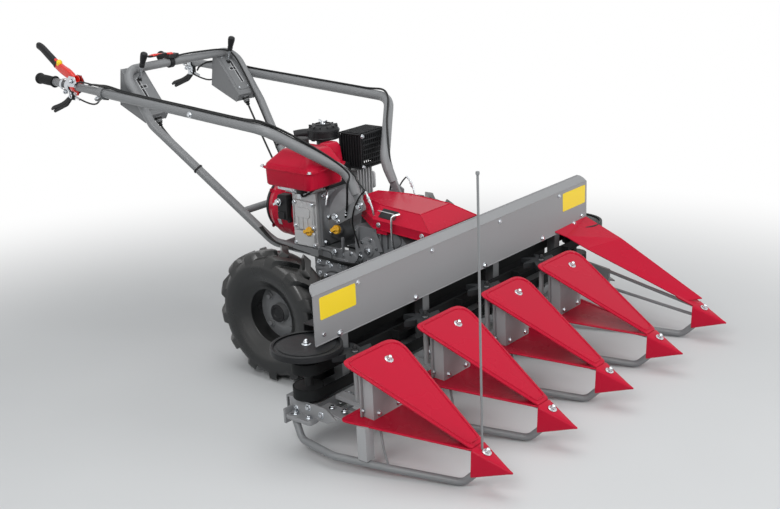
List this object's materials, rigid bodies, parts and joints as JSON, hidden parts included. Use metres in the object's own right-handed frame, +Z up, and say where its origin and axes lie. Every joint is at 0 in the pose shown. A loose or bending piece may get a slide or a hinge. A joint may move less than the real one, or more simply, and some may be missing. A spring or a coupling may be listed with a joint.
{
  "type": "walk-behind reaper",
  "caption": "Walk-behind reaper: petrol engine and gearbox on two driven wheels, long handlebars, and a side-delivery cutting header with pointed crop dividers.",
  "frame": {"origin": "on the floor under the middle of the machine's length and width", "axes": "+X forward towards the divider tips, +Y to the machine's left, +Z up"},
  "size_m": [2.2351, 1.538, 0.9553],
  "materials": {
    "black_plastic": "matte",
    "grey_paint": "satin",
    "bell_casting": "satin",
    "black_paint": "satin",
    "cable_sheath": "matte",
    "pulley_casting": "matte",
    "crankcase_casting": "satin",
    "red_paint": "gloss",
    "light_grey_paint": "satin",
    "gearbox_casting": "satin",
    "grip_rubber": "matte",
    "bare_steel": "satin",
    "console_plastic": "matte",
    "belt_rubber": "matte",
    "starter_plastic": "matte",
    "star_plastic": "matte",
    "red_plastic": "gloss",
    "tyre_rubber": "matte",
    "wheel_paint": "satin"
  },
  "bodies": {
    "chassis": {"air_cleaner": "black_plastic", "back_sheet": "grey_paint", "carburettor": "black_plastic", "clutch_bell": "bell_casting", "clutch_levers": "black_paint", "control_cables": "cable_sheath", "conveyor_pulleys": "pulley_casting", "crankcase": "crankcase_casting", "cutter_bar": "grey_paint", "cylinder_head": "crankcase_casting", "divider_covers": "red_paint", "divider_floors": "red_paint", "divider_frames": "light_grey_paint", "divider_noses": "red_paint", "engine_cowl": "red_paint", "fan_housing": "red_paint", "front_panel": "light_grey_paint", "fuel_cap": "black_plastic", "fuel_tank": "red_paint", "gearbox": "gearbox_casting", "gearbox_hood": "red_paint", "grips": "grip_rubber", "handle_stem_left": "grey_paint", "handle_stem_right": "grey_paint", "handlebar_brackets": "black_paint", "handlebar_left": "grey_paint", "handlebar_right": "grey_paint", "header_posts": "grey_paint", "left_deflector": "red_paint", "left_divider_rods": "grey_paint", "lever_consoles": "console_plastic", "lower_beam": "grey_paint", "lower_conveyor": "belt_rubber", "marker_rod": "grey_paint", "pulley_covers": "black_plastic", "rear_frame": "grey_paint", "recoil_starter": "starter_plastic", "shift_levers": "black_plastic", "silencer": "black_paint", "skids": "grey_paint", "stop_lever": "red_plastic", "throttle_lever": "black_plastic", "upper_beam": "grey_paint", "upper_conveyor": "belt_rubber"},
    "right_wheel": {"tyre_right": "tyre_rubber", "wheel_right": "wheel_paint"},
    "left_wheel": {"tyre_left": "tyre_rubber", "wheel_left": "wheel_paint"},
    "knife": {"knife": "bare_steel"},
    "star_wheel_1": {"star_wheel_1": "star_plastic"},
    "star_wheel_2": {"star_wheel_2": "star_plastic"},
    "star_wheel_3": {"star_wheel_3": "star_plastic"},
    "star_wheel_4": {"star_wheel_4": "star_plastic"}
  },
  "joints": [
    {"name": "right_wheel_spin", "type": "hinge", "parent": "chassis", "child": "right_wheel", "pos_m": [0.099, -0.36, 0.205], "axis": [0, 1, 0], "continuous": true},
    {"name": "left_wheel_spin", "type": "hinge", "parent": "chassis", "child": "left_wheel", "pos_m": [0.099, 0.36, 0.205], "axis": [0, 1, 0], "continuous": true},
    {"name": "knife_stroke", "type": "slide", "parent": "chassis", "child": "knife", "axis": [0, 1, 0], "range_m": [-0.038, 0.038]},
    {"name": "star_wheel_1_spin", "type": "hinge", "parent": "chassis", "child": "star_wheel_1", "pos_m": [0.623, -0.6, 0.274], "axis": [0, 0, 1], "continuous": true},
    {"name": "star_wheel_2_spin", "type": "hinge", "parent": "chassis", "child": "star_wheel_2", "pos_m": [0.623, -0.3, 0.274], "axis": [0, 0, 1], "continuous": true},
    {"name": "star_wheel_3_spin", "type": "hinge", "parent": "chassis", "child": "star_wheel_3", "pos_m": [0.623, 0, 0.274], "axis": [0, 0, 1], "continuous": true},
    {"name": "star_wheel_4_spin", "type": "hinge", "parent": "chassis", "child": "star_wheel_4", "pos_m": [0.623, 0.3, 0.274], "axis": [0, 0, 1], "continuous": true}
  ]
}
